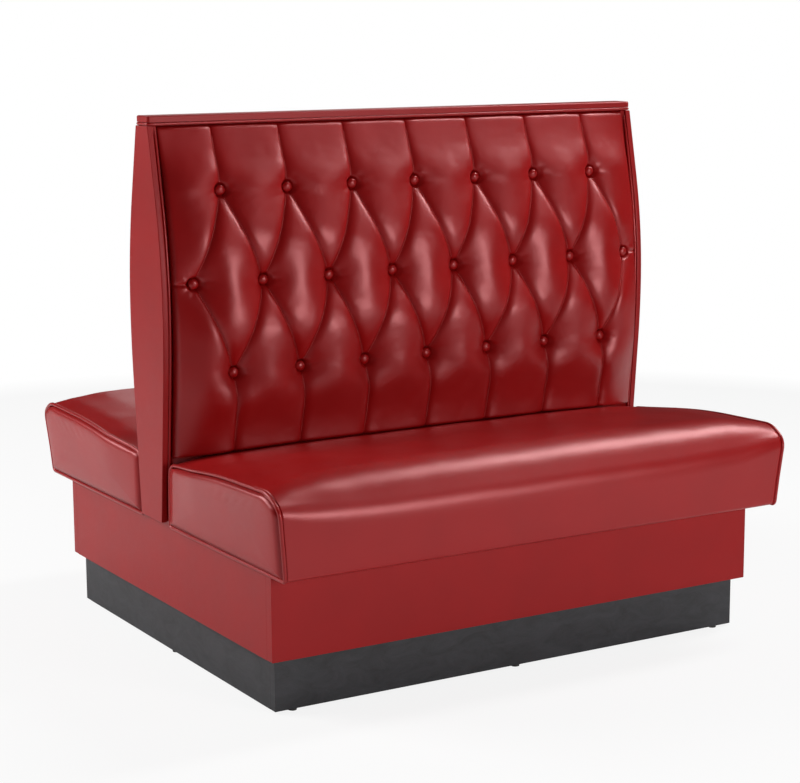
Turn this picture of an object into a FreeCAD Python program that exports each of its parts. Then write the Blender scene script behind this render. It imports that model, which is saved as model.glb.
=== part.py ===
import FreeCAD, Part
import math
import os
import re
import Sketcher

# Double restaurant booth: two lift-off seats back to back on one box, with a tufted back between them.
# X runs along the booth, the front seat looks along -Y, Z is up.
# The origin is on the floor, in the middle of the booth.

os.makedirs("parts", exist_ok=True)
doc = FreeCAD.newDocument("Booth")

# Driving dimensions, in millimetres and degrees.
SIZES = {
    # whole booth
    "overall_height": "1071",
    "clearance": "0.3",
    # base
    "glide_height": "4",
    "glide_radius": "8.5",
    "glide_setback": "40",
    "kick_end_recess": "16",
    "kick_front_recess": "22",
    "kick_height": "101.6",
    "kick_board": "18",
    "kick_bearer_spacing": "356",
    "block_side": "40",
    # seat box
    "box_length": "1102",
    "box_depth": "934",
    "box_height": "177.8",
    "box_wall": "20",
    "box_floor": "12",
    "bearer_board": "18",
    "rib_board": "18",
    # back
    "panel_thickness": "22",
    "panel_lap": "2",
    "widest_half": "77",
    "widest_drop": "358",
    "upper_radius": "1100",
    "lower_radius": "1600",
    "upper_lean": "11.5",
    "lower_lean": "4.9",
    "former_board": "18",
    "rail_board": "18",
    "top_rail_height": "50",
    "middle_rail_height": "90",
    "foot_rail_height": "60",
    "cleat_width": "35",
    "cleat_height": "150",
    "skin_board": "4",
    # tufting
    "pleat_depth": "6",
    "slab_thickness": "8",
    "pad_widest_half": "104",
    "pad_widest_rise": "143.6",
    "pad_upper_radius": "1470",
    "pad_lower_radius": "7000",
    "pad_end_roll": "22",
    "lobe_swell": "34",
    "arch_rise": "20",
    "head_swell": "7",
    "crevice_swell": "9",
    "end_button_setback": "38.6",
    "top_row_drop": "125",
    "bottom_row_rise": "150.6",
    "pleat_gap": "1.6",
    "lobe_point": "7",
    "lobe_root": "4",
    "button_radius": "11.5",
    "button_rim": "2.5",
    "button_crown": "4.5",
    "dimple_radius": "19",
    "dimple_depth": "9",
    # welts
    "welt_radius": "3.2",
    "welt_proud": "1.8",
    "welt_gap": "3",
    # cap
    "cap_thickness": "12",
    "cap_end_setback": "1",
    "cap_side_setback": "0.4",
    "cap_corner": "6",
    "cap_edge": "2",
    # seats
    "seat_end_overhang": "20",
    "seat_front_overhang": "90",
    "seat_back_gap": "2.1",
    "seat_crown": "173.8",
    "seat_end_thickness": "151",
    "crevice_rise": "143",
    "end_pillow": "6",
    "end_pillow_edge": "20",
    "end_edge_radius": "1.5",
    "deck_board": "15",
    "deck_end_gap": "31",
    "deck_rear_gap": "12",
    "deck_front_gap": "39",
    "batten_width": "22",
    "batten_height": "12",
    "batten_gap": "52",
    "batten_play": "15",
}

# Sizes that follow from the driving ones, as sheet formulas in the same words.
LEVELS = {
    "box_low": "glide_height + kick_height",
    "floor_top": "box_low + box_floor",
    "seat_low": "box_low + box_height",
    "panel_low": "seat_low - panel_lap",
    "welt_seat": "2 * welt_radius + 2 * clearance",
    "panel_rebate": "welt_seat + welt_gap",
    "cap_low": "overall_height - cap_thickness",
    "back_top": "cap_low - welt_seat",
    "widest_height": "back_top - widest_drop",
    "half_box": "box_length / 2",
    "kick_length": "box_length - 2 * kick_end_recess",
    "kick_depth": "box_depth - 2 * kick_front_recess",
    "half_kick": "kick_length / 2",
    "half_back": "half_box + panel_thickness",
    "button_pitch": "(box_length - 2 * end_button_setback) / 7",
    "seat_length": "box_length + 2 * seat_end_overhang",
    "seat_reach": "box_depth / 2 + seat_front_overhang",
    "crevice": "seat_low + crevice_rise",
    "seat_rear": "widest_half - lower_radius + (lower_radius"
                 " - (widest_height - crevice) * sin(lower_lean)) / cos(lower_lean) + seat_back_gap",
    "pad_widest_height": "crevice + pad_widest_rise",
    "top_row": "back_top - top_row_drop",
    "bottom_row": "crevice + bottom_row_rise",
    "skin_inset": "pleat_depth + slab_thickness + clearance",
    "former_inset": "skin_inset + skin_board",
    "neck_half": "widest_half - lower_radius + (lower_radius - former_inset"
                 " - (widest_height - seat_low) * sin(lower_lean)) / cos(lower_lean)",
    "back_top_half": "widest_half - upper_radius + (upper_radius"
                     " - (back_top - widest_height) * sin(upper_lean)) / cos(upper_lean)",
    "cap_half_depth": "back_top_half - cap_side_setback",
    "cap_half_length": "half_back - cap_end_setback",
    "top_rail_board": "2 * (widest_half - upper_radius - clearance + (upper_radius - former_inset"
                      " - (back_top - widest_height) * sin(upper_lean)) / cos(upper_lean))",
    "rib_spacing": "box_length / 4",
    "rib_start": "neck_half + bearer_board",
    "rib_end": "box_depth / 2 - box_wall",
    "former_spacing": "(box_length - former_board) / 3",
    "rail_length": "former_spacing - former_board",
    "half_deck": "seat_length / 2 - deck_end_gap",
    "deck_start": "seat_rear + deck_rear_gap",
    "deck_end": "seat_reach - deck_front_gap",
    "batten_end": "rib_end - batten_gap",
    "batten_start": "rib_spacing + rib_board / 2 + batten_play",
    "batten_length": "half_box - box_wall - block_side - batten_play - batten_start",
}


def linked(formula):
    """The formula with every size named by the sheet that holds it."""
    def place(match):
        word = match.group(0)
        if word in SIZES:
            return "Sizes." + word
        if word in LEVELS:
            return "Levels." + word
        return word
    return re.sub(r"[a-z_]+", place, formula)


sizes = doc.addObject("Spreadsheet::Sheet", "Sizes")
for row, (word, number) in enumerate(SIZES.items(), start=1):
    sizes.set(f"A{row}", word)
    sizes.set(f"B{row}", number)
    sizes.setAlias(f"B{row}", word)
doc.recompute()

levels = doc.addObject("Spreadsheet::Sheet", "Levels")
for row, (word, formula) in enumerate(LEVELS.items(), start=1):
    levels.set(f"A{row}", word)
    levels.setAlias(f"B{row}", word)
    levels.set(f"B{row}", "=" + linked(formula).replace("Levels.", ""))
doc.recompute()


def value(formula):
    """What a formula in the sheets' words comes to, for the forms that are lofted or swept."""
    return float(sizes.evalExpression(linked(formula)))


def block(name, corner, sides):
    """A rectangular board: its low corner and its three sides, each as a formula."""
    board = doc.addObject("Part::Box", name)
    for axis, formula in zip("xyz", corner):
        board.setExpression("Placement.Base." + axis, linked(formula))
    for side, formula in zip(("Length", "Width", "Height"), sides):
        board.setExpression(side, linked(formula))
    return board


def group(name, members):
    """Separate like solids that share one node."""
    holder = doc.addObject("Part::Compound", name)
    holder.Links = members
    return holder


def feature(name, shape):
    """A lofted or swept form."""
    holder = doc.addObject("Part::Feature", name)
    holder.Shape = shape
    return holder


def plane(body, role):
    """One of the body's own origin planes."""
    return next(item for item in body.Origin.OriginFeatures if item.Role == role)


nodes = []

# Base: four boards on nail-on glides, stiffened by two bearers and a block in each corner.
BASE_SPOTS = (
    ("glide_a", "-half_kick + glide_setback", "-kick_depth / 2 + kick_board / 2"),
    ("glide_b", "0", "-kick_depth / 2 + kick_board / 2"),
    ("glide_c", "half_kick - glide_setback", "-kick_depth / 2 + kick_board / 2"),
    ("glide_d", "-half_kick + glide_setback", "kick_depth / 2 - kick_board / 2"),
    ("glide_e", "0", "kick_depth / 2 - kick_board / 2"),
    ("glide_f", "half_kick - glide_setback", "kick_depth / 2 - kick_board / 2"),
    ("glide_g", "-half_kick + kick_board / 2", "0"),
    ("glide_h", "half_kick - kick_board / 2", "0"),
)
glides = []
for name, x, y in BASE_SPOTS:
    glide = doc.addObject("Part::Prism", name)
    glide.Polygon = 12
    glide.setExpression("Circumradius", linked("glide_radius"))
    glide.setExpression("Height", linked("glide_height"))
    glide.setExpression("Placement.Base.x", linked(x))
    glide.setExpression("Placement.Base.y", linked(y))
    glides.append(glide)
nodes.append(group("floor_glides", glides))

KICK_SIDES = ("kick_length", "kick_board", "kick_height")
KICK_END_SIDES = ("kick_board", "kick_depth - 2 * kick_board", "kick_height")
KICK_INNER_Y = "-kick_depth / 2 + kick_board"
nodes.append(block("base_front_board", ("-half_kick", "-kick_depth / 2", "glide_height"), KICK_SIDES))
nodes.append(block("base_rear_board", ("-half_kick", "kick_depth / 2 - kick_board", "glide_height"),
                   KICK_SIDES))
nodes.append(block("base_left_end", ("-half_kick", KICK_INNER_Y, "glide_height"), KICK_END_SIDES))
nodes.append(block("base_right_end", ("half_kick - kick_board", KICK_INNER_Y, "glide_height"),
                   KICK_END_SIDES))
nodes.append(group("base_bearers", [
    block(f"base_bearer_{side}", (f"{sign} * kick_bearer_spacing / 2 - kick_board / 2", KICK_INNER_Y,
                                  "glide_height"), KICK_END_SIDES)
    for side, sign in (("left", -1), ("right", 1))]))


def corner_blocks(name, reach_x, reach_y, low, height):
    """Square glue blocks, one in each inner corner of a box of boards."""
    members = []
    for column, x in (("left", f"-({reach_x})"), ("right", f"{reach_x} - block_side")):
        for row, y in (("front", f"-({reach_y})"), ("rear", f"{reach_y} - block_side")):
            members.append(block(f"{name}_{column}_{row}", (x, y, low),
                                 ("block_side", "block_side", height)))
    return group(name, members)


nodes.append(corner_blocks("base_corner_blocks", "half_kick - kick_board", "kick_depth / 2 - kick_board",
                           "glide_height", "kick_height"))

# Seat box: floor, two fascias, two ends, and the boards inside that carry the back and the seats.
nodes.append(block("box_floor_board", ("-half_box + box_wall", "-rib_end", "box_low"),
                   ("box_length - 2 * box_wall", "2 * rib_end", "box_floor")))
FASCIA_SIDES = ("box_length", "box_wall", "box_height")
BOX_END_SIDES = ("box_wall", "2 * rib_end", "box_height")
nodes.append(block("box_front_fascia", ("-half_box", "-box_depth / 2", "box_low"), FASCIA_SIDES))
nodes.append(block("box_rear_fascia", ("-half_box", "rib_end", "box_low"), FASCIA_SIDES))
nodes.append(block("box_left_end", ("-half_box", "-rib_end", "box_low"), BOX_END_SIDES))
nodes.append(block("box_right_end", ("half_box - box_wall", "-rib_end", "box_low"), BOX_END_SIDES))
INNER_HEIGHT = "box_height - box_floor"
BEARER_SIDES = ("box_length - 2 * box_wall", "bearer_board", INNER_HEIGHT)
nodes.append(block("box_front_bearer", ("-half_box + box_wall", "-rib_start", "floor_top"), BEARER_SIDES))
nodes.append(block("box_rear_bearer", ("-half_box + box_wall", "neck_half", "floor_top"), BEARER_SIDES))
ribs = []
for row, y in (("front", "-rib_end"), ("rear", "rib_start")):
    for column, step in (("left", -1), ("middle", 0), ("right", 1)):
        ribs.append(block(f"box_rib_{row}_{column}",
                          (f"{step} * rib_spacing - rib_board / 2", y, "floor_top"),
                          ("rib_board", "rib_end - rib_start", INNER_HEIGHT)))
nodes.append(group("box_ribs", ribs))
nodes.append(corner_blocks("box_corner_blocks", "half_box - box_wall", "rib_end", "floor_top",
                           INNER_HEIGHT))


# Back: the shape of every board comes from one outline, which leans in as a straight line at the
# top and the foot and swells between them in two arcs that meet at the widest height.
def half_depth(height, inset=0.0):
    """Half the depth of the back at a height, less an inset all round."""
    rise = height - value("widest_height")
    above = rise > 0
    radius = value("upper_radius") if above else value("lower_radius")
    lean = math.radians(value("upper_lean") if above else value("lower_lean"))
    centre = value("widest_half") - radius
    radius -= inset
    if abs(rise) > radius * math.sin(lean):
        return centre + (radius - abs(rise) * math.sin(lean)) / math.cos(lean)
    return centre + math.sqrt(radius ** 2 - rise ** 2)


def tangent_height(above, inset):
    """Height at which an arc of the outline runs into its straight line."""
    side = "upper" if above else "lower"
    run = (value(side + "_radius") - inset) * math.sin(math.radians(value(side + "_lean")))
    return value("widest_height") + (run if above else -run)


def half_outline(body, name, inset, low, high, station):
    """Sketch of the rear half of the outline, closed along the middle of the back."""
    sketch = body.newObject("Sketcher::SketchObject", name)
    sketch.AttachmentSupport = (plane(body, "YZ_Plane"), [""])
    sketch.MapMode = "FlatFace"
    sketch.setExpression("AttachmentOffset.Base.z", linked(station))
    drop, foot, top = value(inset), value(low), value(high)

    def corner(height):
        return FreeCAD.Vector(half_depth(height, drop), height, 0)

    def arc(side, start, end):
        radius = value(side + "_radius")
        centre = FreeCAD.Vector(value("widest_half") - radius, value("widest_height"), 0)
        circle = Part.Circle(centre, FreeCAD.Vector(0, 0, 1), radius - drop)
        return Part.ArcOfCircle(circle, math.radians(start), math.radians(end))

    axis_foot = FreeCAD.Vector(0, foot, 0)
    axis_top = FreeCAD.Vector(0, top, 0)
    lower_meet = corner(tangent_height(False, drop))
    upper_meet = corner(tangent_height(True, drop))
    sketch.addGeometry([
        Part.LineSegment(axis_foot, corner(foot)),
        Part.LineSegment(corner(foot), lower_meet),
        arc("lower", -value("lower_lean"), 0),
        arc("upper", 0, value("upper_lean")),
        Part.LineSegment(upper_meet, corner(top)),
        Part.LineSegment(corner(top), axis_top),
        Part.LineSegment(axis_top, axis_foot),
    ], False)
    sketch.addConstraint([
        Sketcher.Constraint("Coincident", 0, 2, 1, 1),
        Sketcher.Constraint("Tangent", 1, 2, 2, 1),
        Sketcher.Constraint("Tangent", 2, 2, 3, 1),
        Sketcher.Constraint("Tangent", 3, 2, 4, 1),
        Sketcher.Constraint("Coincident", 4, 2, 5, 1),
        Sketcher.Constraint("Coincident", 5, 2, 6, 1),
        Sketcher.Constraint("Coincident", 6, 2, 0, 1),
        Sketcher.Constraint("Horizontal", 0),
        Sketcher.Constraint("Horizontal", 5),
        Sketcher.Constraint("PointOnObject", 6, 1, -2),
        Sketcher.Constraint("PointOnObject", 6, 2, -2),
        Sketcher.Constraint("Horizontal", 2, 2, 2, 3),
    ])
    bound = (
        (("Radius", 2, value("lower_radius") - drop), f"lower_radius - ({inset})"),
        (("Radius", 3, value("upper_radius") - drop), f"upper_radius - ({inset})"),
        (("DistanceX", -1, 1, 2, 2, value("widest_half") - drop), f"widest_half - ({inset})"),
        (("DistanceY", -1, 1, 2, 2, value("widest_height")), "widest_height"),
        (("Angle", 1, math.radians(90 - value("lower_lean"))), "90 - lower_lean"),
        (("Angle", 4, math.radians(90 + value("upper_lean"))), "90 + upper_lean"),
        (("DistanceY", -1, 1, 0, 1, foot), low),
        (("DistanceY", -1, 1, 5, 2, top), high),
    )
    for parameters, formula in bound:
        index = sketch.addConstraint(Sketcher.Constraint(*parameters))
        sketch.setExpression(f"Constraints[{index}]", linked(formula))
    return sketch


def rectangle(body, name, role, low_corner, high_corner, station):
    """Sketch of a rectangle on one of the body's planes, each corner as two formulas."""
    sketch = body.newObject("Sketcher::SketchObject", name)
    sketch.AttachmentSupport = (plane(body, role), [""])
    sketch.MapMode = "FlatFace"
    sketch.setExpression("AttachmentOffset.Base.z", linked(station))
    left, low = (value(formula) for formula in low_corner)
    right, high = (value(formula) for formula in high_corner)
    corners = [FreeCAD.Vector(left, low, 0), FreeCAD.Vector(right, low, 0),
               FreeCAD.Vector(right, high, 0), FreeCAD.Vector(left, high, 0)]
    for start, end in zip(corners, corners[1:] + corners[:1]):
        sketch.addGeometry(Part.LineSegment(start, end), False)
    for here in range(4):
        sketch.addConstraint(Sketcher.Constraint("Coincident", here, 2, (here + 1) % 4, 1))
        sketch.addConstraint(Sketcher.Constraint("Vertical" if here % 2 else "Horizontal", here))
    bound = (("DistanceX", 0, low_corner[0], left), ("DistanceY", 0, low_corner[1], low),
             ("DistanceX", 2, high_corner[0], right), ("DistanceY", 2, high_corner[1], high))
    for kind, side, formula, reach in bound:
        index = sketch.addConstraint(Sketcher.Constraint(kind, -1, 1, side, 1, reach))
        sketch.setExpression(f"Constraints[{index}]", linked(formula))
    return sketch


def padded(body, sketch, thickness, reverse=False):
    """A pad of a sketch by a thickness given as a formula."""
    pad = body.newObject("PartDesign::Pad", sketch.Name + "_pad")
    pad.Profile = sketch
    pad.Reversed = reverse
    pad.setExpression("Length", linked(thickness))
    body.Tip = pad
    return pad


def both_halves(body, originals):
    """The same features on the other side of the middle of the back."""
    mirror = body.newObject("PartDesign::Mirrored", body.Name + "_both_halves")
    mirror.Originals = originals
    mirror.MirrorPlane = (plane(body, "XZ_Plane"), [""])
    body.Tip = mirror


# The end panels close the back and lap over the box. The inner leaf is set in, which leaves a
# rebate along each edge for the welt.
for side, outer, inner in (("left", "-half_back", "-half_box - panel_rebate"),
                           ("right", "half_box + panel_rebate", "half_box")):
    panel = doc.addObject("PartDesign::Body", f"back_{side}_end_panel")
    leaf = padded(panel, half_outline(panel, f"{side}_outer_leaf", "0", "panel_low", "back_top", outer),
                  "panel_thickness - panel_rebate")
    core = padded(panel, half_outline(panel, f"{side}_inner_leaf", "pleat_depth", "panel_low",
                                      "back_top", inner), "panel_rebate")
    both_halves(panel, [leaf, core])
    nodes.append(panel)


def former(name, station, footed):
    """A shaped board of the back; a footed one reaches down between the bearers."""
    body = doc.addObject("PartDesign::Body", name)
    parts = [padded(body, half_outline(body, name + "_outline", "former_inset", "seat_low", "back_top",
                                       station), "former_board")]
    if footed:
        foot = rectangle(body, name + "_foot", "YZ_Plane", ("0", "floor_top"),
                         ("neck_half", "seat_low"), station)
        parts.append(padded(body, foot, "former_board"))
    both_halves(body, parts)
    return body


nodes.append(group("back_end_formers", [
    former("left_end_former", "-half_box", False),
    former("right_end_former", "half_box - former_board", False)]))
nodes.append(group("back_middle_formers", [
    former("left_middle_former", "-half_box + former_spacing", True),
    former("right_middle_former", "half_box - former_spacing - former_board", True)]))

cleats = []
for side, sign in (("left", -1), ("right", 1)):
    for flank, x in (("inner", f"{sign} * former_spacing / 2 - {(sign + 1) // 2} * cleat_width"
                               f" - {sign} * former_board / 2 "),
                     ("outer", f"{sign} * former_spacing / 2 - {(1 - sign) // 2} * cleat_width"
                               f" + {sign} * former_board / 2")):
        cleats.append(block(f"cleat_{side}_{flank}", (x, "-neck_half", "floor_top"),
                            ("cleat_width", "2 * neck_half", "cleat_height")))
nodes.append(group("back_foot_cleats", cleats))

for name, low, height, board in (
        ("back_foot_rails", "seat_low", "foot_rail_height", "rail_board"),
        ("back_middle_rails", "widest_height - middle_rail_height / 2", "middle_rail_height", "rail_board"),
        ("back_top_rails", "back_top - top_rail_height", "top_rail_height", "top_rail_board")):
    spans = [block(f"{name}_{bay}", (f"-half_box + former_board + {bay} * former_spacing",
                                     f"-{board} / 2", low), ("rail_length", board, height))
             for bay in range(3)]
    nodes.append(group(name, spans))

# Bent skins over the formers carry the foam.
for name, turn in (("back_rear_skin", 0), ("back_front_skin", 180)):
    skin = doc.addObject("PartDesign::Body", name)
    padded(skin, half_outline(skin, name + "_outside", "skin_inset", "seat_low", "back_top",
                              "-half_box"), "box_length")
    hollow = skin.newObject("PartDesign::Pocket", name + "_hollow")
    hollow.Profile = half_outline(skin, name + "_inside", "former_inset", "seat_low", "back_top",
                                  "-half_box")
    hollow.setExpression("Length", linked("box_length"))
    hollow.Reversed = True
    skin.Tip = hollow
    skin.Placement = FreeCAD.Placement(FreeCAD.Vector(), FreeCAD.Rotation(FreeCAD.Vector(0, 0, 1), turn))
    nodes.append(skin)
doc.recompute()


def between(start, end, share):
    return start + (end - start) * share


def back_curve(station, inset, low, high):
    """Front edge of the back's outline from low to high, as a line, two arcs and a line."""
    lower, middle, upper = tangent_height(False, inset), value("widest_height"), tangent_height(True, inset)

    def point(height):
        return FreeCAD.Vector(station, -half_depth(height, inset), height)

    return [
        Part.LineSegment(point(low), point(lower)).toShape(),
        Part.Arc(point(lower), point((lower + middle) / 2), point(middle)).toShape(),
        Part.Arc(point(middle), point((middle + upper) / 2), point(upper)).toShape(),
        Part.LineSegment(point(upper), point(high)).toShape(),
    ]


def chords(edges, sweep):
    """Points along a path, with each arc cut into chords that turn by no more than a sweep."""
    points = []
    for edge in edges:
        first, last = edge.FirstParameter, edge.LastParameter
        curved = isinstance(edge.Curve, Part.Circle)
        cuts = math.ceil(math.degrees(last - first) / sweep) if curved else 1
        points += [edge.valueAt(between(first, last, cut / cuts)) for cut in range(cuts)]
    end = edges[-1].valueAt(edges[-1].LastParameter)
    return points + [end]


def ring(radius, height, sides):
    """Corners of a regular outline round the Z axis."""
    return [FreeCAD.Vector(radius * math.cos(math.radians(turn)), radius * math.sin(math.radians(turn)),
                           height) for turn in range(0, 360, 360 // sides)]


def flat_face(corners):
    return Part.Face(Part.makePolygon(corners + corners[:1]))


def flat_loft(sections):
    """A solid through outlines of as many corners, whose matching sides are parallel."""
    faces = [flat_face(sections[0]), flat_face(sections[-1])]
    for near, far in zip(sections, sections[1:]):
        for side in range(len(near)):
            faces.append(flat_face([near[side - 1], near[side], far[side], far[side - 1]]))
    solid = Part.Solid(Part.Shell(faces))
    if solid.Volume < 0:
        solid.reverse()
    return solid


CORD_SIDES = 8


def tube(points, radius):
    """A cord of flat sides along a path of points."""
    corners = ring(radius, 0, CORD_SIDES)
    outline = Part.makePolygon(corners + corners[:1])
    heading = FreeCAD.Rotation(FreeCAD.Vector(0, 0, 1), points[1] - points[0])
    outline.Placement = FreeCAD.Placement(points[0], heading)
    return Part.makePolygon(points).makePipeShell([outline], True, False, 1)


def turned(shape):
    """The same form for the other side of the booth, turned half round on the Z axis."""
    copy = shape.copy()
    copy.rotate(FreeCAD.Vector(), FreeCAD.Vector(0, 0, 1), 180)
    return copy


WELT = value("welt_radius")
CLEAR = value("clearance")
PANEL_WELT_X = value("half_box + welt_gap + welt_seat / 2")
PANEL_WELT_INSET = value("pleat_depth") - WELT - CLEAR
PANEL_WELT_ANGLE = 2
for side, sign in (("left", -1), ("right", 1)):
    cord, opposite = (
        tube(chords(back_curve(way * PANEL_WELT_X, PANEL_WELT_INSET, value("seat_low"),
                               value("back_top") - CLEAR), PANEL_WELT_ANGLE), WELT)
        for way in (sign, -sign))
    opposite = turned(opposite)
    nodes.append(feature(f"back_{side}_welts", Part.makeCompound([cord, opposite])))

# Tufted pads. Buttons stand in three staggered rows, pleats arch from one to the next and part the
# pad into diamonds, and straight pleats run up to the cap and down to the seat. Each field between
# pleats is one swollen lobe. The pad stands out further than the end panels and rolls back to them.
PITCH = value("button_pitch")
TOP_ROW = value("top_row")
BOTTOM_ROW = value("bottom_row")
MIDDLE_ROW = (TOP_ROW + BOTTOM_ROW) / 2
PAD_LOW = value("seat_low") + CLEAR
PAD_HIGH = value("back_top") - CLEAR
PAD_SIDE = value("half_box") - 2 * CLEAR
PAD_FULL = PAD_SIDE - value("pad_end_roll")
CREVICE = value("crevice")
PLEAT_DEPTH = value("pleat_depth")
PLEAT_GAP = value("pleat_gap")
SWELL = value("lobe_swell")
ARCH = value("arch_rise")
SWELL_POWER = 0.4
HALF_SHARES = (0.0, 0.25, 0.5, 0.75, 1.0)
CHANNEL_SHARES = (0.4, 0.7, 0.9, 1.0)
CHANNEL_ARCH_SHARES = (0.3, 0.2, 0.1, 0.0)
END_EASE_SHARES = (0.25, 0.9, 1.0, 1.0, 1.0)
FLANK_SLOPE = math.tan(math.radians(50))
SHOULDER_SLOPE = math.tan(math.radians(20))
FLANK_SHARE = 0.62
RUN_PER_SWELL = FLANK_SHARE / FLANK_SLOPE + (1 - FLANK_SHARE) / SHOULDER_SLOPE
LEAST_CREST_SHARE = 0.04
LEAST_SWELL = 1


def pad_floor(height):
    """How far from the middle of the back the buttons are drawn in to, at a height."""
    rise = height - value("pad_widest_height")
    radius = value("pad_upper_radius") if rise > 0 else value("pad_lower_radius")
    return value("pad_widest_half") - radius + math.sqrt(radius ** 2 - rise ** 2)


def lobe_section(height, left, right, swell, left_arch, right_arch):
    """One level of a lobe: at each pleat an upright and a steep flank, a shoulder, and a crest.

    Each stretch keeps its slope at every level, so that the lobe has flat faces.
    """
    floor = -pad_floor(height)
    root = floor + value("lobe_root")
    room = (1 - LEAST_CREST_SHARE) * (right - left) / RUN_PER_SWELL
    swell = min(swell, (room + left_arch + right_arch) / 2)
    swell = max(swell, left_arch + LEAST_SWELL, right_arch + LEAST_SWELL)
    profile = []
    for edge, inward, arch in ((left, 1, left_arch), (right, -1, right_arch)):
        rise = swell - arch
        flank = FLANK_SHARE * rise
        side = [(edge, root), (edge, floor - arch),
                (edge + inward * flank / FLANK_SLOPE, floor - arch - flank),
                (edge + inward * rise * RUN_PER_SWELL, floor - swell)]
        profile += side if inward > 0 else side[::-1]
    return [FreeCAD.Vector(x, y, height) for x, y in profile]


def natural_swell(width):
    """A wide field stands out further than a narrow one."""
    return SWELL * (width / PITCH) ** SWELL_POWER


def lobe(levels_of_lobe):
    return flat_loft([lobe_section(*level) for level in levels_of_lobe])


def arch_at(share):
    """Height of a pleat's arch at a share of the way from one button to the next."""
    return ARCH * math.sin(math.pi * share)


def diamond(centre):
    """A full diamond from a top button down to a bottom button."""
    rows = []
    for start, end, shares in ((TOP_ROW, MIDDLE_ROW, HALF_SHARES),
                               (BOTTOM_ROW, MIDDLE_ROW, HALF_SHARES[-2::-1])):
        for share in shares:
            half = between(value("lobe_point"), PITCH - PLEAT_GAP, share) / 2
            rows.append((between(start, end, share), centre - half, centre + half,
                         natural_swell(2 * half), arch_at(share), arch_at(share)))
    return lobe(rows)


def pennant(row, far, far_swell, top, point, ends=(1, 1)):
    """A field that widens from the middle row to another row and then runs on as a channel.

    Its top and its point are each a left and a right side; a side with an end of 0 has no pleat.
    """
    rows = []
    easings = HALF_SHARES[-1:] * len(HALF_SHARES) if min(ends) else END_EASE_SHARES
    for share, easing in zip(HALF_SHARES, easings):
        left, right = (between(low, high, share) for low, high in zip(point, top))
        rows.append((between(MIDDLE_ROW, row, share), left, right, easing * natural_swell(right - left),
                     ends[0] * arch_at(share), ends[1] * arch_at(share)))
    full = natural_swell(top[1] - top[0])
    for share, rise in zip(CHANNEL_SHARES, CHANNEL_ARCH_SHARES):
        rows.append((between(row, far, share), *top, between(full, far_swell, share),
                     ends[0] * rise * ARCH, ends[1] * rise * ARCH))
    return lobe(rows)


def rolled_slab():
    """The pad under its lobes: full between its ends, and rolled back to the end panels at them."""
    rows = (CREVICE, BOTTOM_ROW, MIDDLE_ROW, TOP_ROW, PAD_HIGH)
    heights = [between(low, high, share) for low, high in zip(rows, rows[1:]) for share in HALF_SHARES[:-1]]
    heights.append(PAD_HIGH)
    inside = PLEAT_DEPTH + value("slab_thickness")
    sections = []
    for x, front in ((-PAD_SIDE, lambda height: half_depth(height, PLEAT_DEPTH)), (-PAD_FULL, pad_floor),
                     (PAD_FULL, pad_floor), (PAD_SIDE, lambda height: half_depth(height, PLEAT_DEPTH))):
        sections.append([FreeCAD.Vector(x, -front(height), height) for height in heights]
                        + [FreeCAD.Vector(x, -half_depth(height, inside), height) for height in heights[::-1]])
    faces = [flat_face(sections[0]), flat_face(sections[-1])]
    for near, far in zip(sections, sections[1:]):
        for side in range(len(near)):
            corners = [near[side - 1], near[side], far[side], far[side - 1]]
            rolled = 0 < side < len(heights) and near[0].y != far[0].y
            faces += [flat_face(corners[:3]), flat_face([corners[2], corners[3], corners[0]])] if rolled \
                else [flat_face(corners)]
    solid = Part.Solid(Part.Shell(faces))
    if solid.Volume < 0:
        solid.reverse()
    return solid


def pad_tail():
    """The flat foot of the pad, behind the seat."""
    inside = PLEAT_DEPTH + value("slab_thickness")
    low, high = PAD_LOW, CREVICE - CLEAR
    corners = [FreeCAD.Vector(-PAD_SIDE, -half_depth(height, inset), height)
               for height, inset in ((low, PLEAT_DEPTH), (high, PLEAT_DEPTH), (high, inside), (low, inside))]
    return flat_face(corners).extrude(FreeCAD.Vector(2 * PAD_SIDE, 0, 0))


def tufted_pad():
    """The front pad: a rolled slab with its lobes."""
    gap = PLEAT_GAP / 2
    tip = value("lobe_point") / 2
    last, outermost = 3 * PITCH + gap, 3.5 * PITCH + gap
    lobes = [diamond(column * PITCH) for column in range(-3, 4)]
    for row, far, far_swell in ((TOP_ROW, PAD_HIGH, value("head_swell")),
                                (BOTTOM_ROW, CREVICE, value("crevice_swell"))):
        for column in range(-3, 3):
            left = column * PITCH
            middle = left + PITCH / 2
            lobes.append(pennant(row, far, far_swell, (left + gap, left + PITCH - gap),
                                 (middle - tip, middle + tip)))
        lobes.append(pennant(row, far, far_swell, (-PAD_FULL, -last), (-PAD_FULL, -outermost), (0, 1)))
        lobes.append(pennant(row, far, far_swell, (last, PAD_FULL), (outermost, PAD_FULL), (1, 0)))
    return rolled_slab().fuse(lobes)


def on_floor(x, height, lift):
    """Placement of a form whose Z axis stands out of the pleat floor at a button."""
    step = value("button_rim")
    slope = pad_floor(height + step) - pad_floor(height - step)
    lean = math.degrees(math.atan2(slope, 2 * step))
    turn = FreeCAD.Rotation(FreeCAD.Vector(1, 0, 0), 90 - lean)
    spot = FreeCAD.Vector(x, -pad_floor(height), height)
    return FreeCAD.Placement(spot + turn.multVec(FreeCAD.Vector(0, 0, lift)), turn)


BUTTON_SIDES = 8
DOME_TURNS = (35, 70)
BUTTON_SPOTS = [(column * PITCH, TOP_ROW) for column in range(-3, 4)]
BUTTON_SPOTS += [((column + 0.5) * PITCH, MIDDLE_ROW) for column in range(-4, 4)]
BUTTON_SPOTS += [(column * PITCH, BOTTOM_ROW) for column in range(-3, 4)]


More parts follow.
